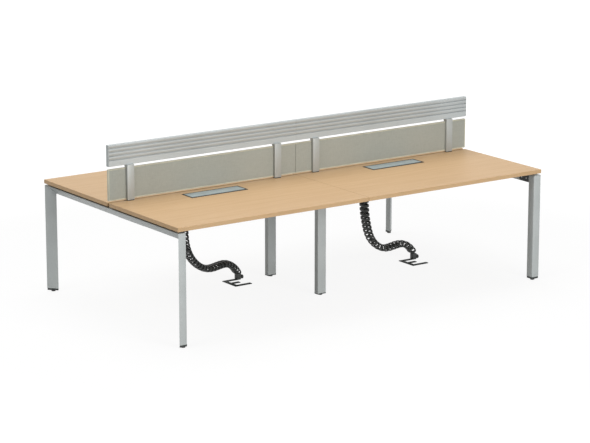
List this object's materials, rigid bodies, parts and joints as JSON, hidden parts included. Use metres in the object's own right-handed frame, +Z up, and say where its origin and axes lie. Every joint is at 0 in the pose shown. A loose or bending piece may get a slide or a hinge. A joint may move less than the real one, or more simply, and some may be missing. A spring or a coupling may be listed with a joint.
{
  "type": "bench desk",
  "caption": "Bench desk with facing beech worktops on silver frames, a low fabric screen with a slatted tool rail, hinged cable flaps and black cable spines to the floor.",
  "frame": {"origin": "on the floor, under the middle of the desk", "axes": "+X along the length, +Y from the side with the screen posts to the far side, +Z up"},
  "size_m": [2.8, 1.6, 1.1],
  "materials": {
    "beech_laminate": "satin beech laminate on board",
    "edge_band": "satin plastic edge band",
    "silver_paint": "satin silver powder coat",
    "black_steel": "black powder coat",
    "black_plastic": "matte",
    "grey_plastic": "matte",
    "brush": "bristles",
    "screen_fabric": "woven",
    "cream_trim": "satin",
    "silver_aluminium": "satin anodised",
    "spine_plastic": "matte",
    "floor_plate": "dark powder coat",
    "zinc_bolt": "zinc plated"
  },
  "bodies": {
    "desk": {"clamp_screws": "zinc_bolt", "flap_brushes": "brush", "front_left_flap_frame": "black_plastic", "front_left_rail": "black_steel", "front_left_top": "beech_laminate", "front_right_flap_frame": "black_plastic", "front_right_rail": "black_steel", "front_right_top": "beech_laminate", "left_beam": "silver_paint", "left_cable_tray": "silver_paint", "left_front_leg": "silver_paint", "left_rear_leg": "silver_paint", "left_screen_panel": "screen_fabric", "left_spine_links": "spine_plastic", "left_tool_rail": "silver_aluminium", "leg_end_caps": "black_plastic", "mid_beam": "silver_paint", "mid_front_leg": "silver_paint", "mid_rear_leg": "silver_paint", "panel_trims": "cream_trim", "post_clamps": "black_steel", "rail_bolts": "zinc_bolt", "rail_end_plates": "black_steel", "rear_left_flap_frame": "black_plastic", "rear_left_rail": "black_steel", "rear_left_top": "beech_laminate", "rear_right_flap_frame": "black_plastic", "rear_right_rail": "black_steel", "rear_right_top": "beech_laminate", "right_beam": "silver_paint", "right_cable_tray": "silver_paint", "right_front_leg": "silver_paint", "right_rear_leg": "silver_paint", "right_screen_panel": "screen_fabric", "right_spine_links": "spine_plastic", "right_tool_rail": "silver_aluminium", "screen_posts": "silver_aluminium", "spine_clips": "spine_plastic", "spine_feet": "spine_plastic", "spine_floor_plates": "floor_plate", "tool_rail_caps": "grey_plastic", "tool_rail_joiner": "zinc_bolt", "top_brackets": "black_steel", "top_edge_bands": "edge_band", "top_spacers": "black_plastic", "tray_hangers": "black_steel"},
    "left_front_foot": {"left_front_glide": "black_plastic"},
    "left_rear_foot": {"left_rear_glide": "black_plastic"},
    "mid_front_foot": {"mid_front_glide": "black_plastic"},
    "mid_rear_foot": {"mid_rear_glide": "black_plastic"},
    "right_front_foot": {"right_front_glide": "black_plastic"},
    "right_rear_foot": {"right_rear_glide": "black_plastic"},
    "front_left_lid": {"front_left_flap_lid": "grey_plastic"},
    "front_right_lid": {"front_right_flap_lid": "grey_plastic"},
    "rear_left_lid": {"rear_left_flap_lid": "grey_plastic"},
    "rear_right_lid": {"rear_right_flap_lid": "grey_plastic"},
    "left_knob": {"left_spine_knob": "spine_plastic"},
    "right_knob": {"right_spine_knob": "spine_plastic"}
  },
  "joints": [
    {"name": "left_front_foot_levelling", "type": "slide", "parent": "desk", "child": "left_front_foot", "axis": [0, 0, -1], "range_m": [0, 0.015]},
    {"name": "left_rear_foot_levelling", "type": "slide", "parent": "desk", "child": "left_rear_foot", "axis": [0, 0, -1], "range_m": [0, 0.015]},
    {"name": "mid_front_foot_levelling", "type": "slide", "parent": "desk", "child": "mid_front_foot", "axis": [0, 0, -1], "range_m": [0, 0.015]},
    {"name": "mid_rear_foot_levelling", "type": "slide", "parent": "desk", "child": "mid_rear_foot", "axis": [0, 0, -1], "range_m": [0, 0.015]},
    {"name": "right_front_foot_levelling", "type": "slide", "parent": "desk", "child": "right_front_foot", "axis": [0, 0, -1], "range_m": [0, 0.015]},
    {"name": "right_rear_foot_levelling", "type": "slide", "parent": "desk", "child": "right_rear_foot", "axis": [0, 0, -1], "range_m": [0, 0.015]},
    {"name": "front_left_lid_hinge", "type": "hinge", "parent": "desk", "child": "front_left_lid", "pos_m": [-0.7005, -0.0807, 0.7405], "axis": [-1, 0, 0], "range_deg": [0, 100]},
    {"name": "front_right_lid_hinge", "type": "hinge", "parent": "desk", "child": "front_right_lid", "pos_m": [0.7005, -0.0807, 0.7405], "axis": [-1, 0, 0], "range_deg": [0, 100]},
    {"name": "rear_left_lid_hinge", "type": "hinge", "parent": "desk", "child": "rear_left_lid", "pos_m": [-0.7005, 0.0807, 0.7405], "axis": [1, 0, 0], "range_deg": [0, 100]},
    {"name": "rear_right_lid_hinge", "type": "hinge", "parent": "desk", "child": "rear_right_lid", "pos_m": [0.7005, 0.0807, 0.7405], "axis": [1, 0, 0], "range_deg": [0, 100]},
    {"name": "left_knob_turn", "type": "hinge", "parent": "desk", "child": "left_knob", "pos_m": [-0.20399, 0.331, 0.016], "axis": [1, 0, 0], "range_deg": [0, 360]},
    {"name": "right_knob_turn", "type": "hinge", "parent": "desk", "child": "right_knob", "pos_m": [1.06908, 0.09, 0.016], "axis": [1, 0, 0], "range_deg": [0, 360]}
  ]
}
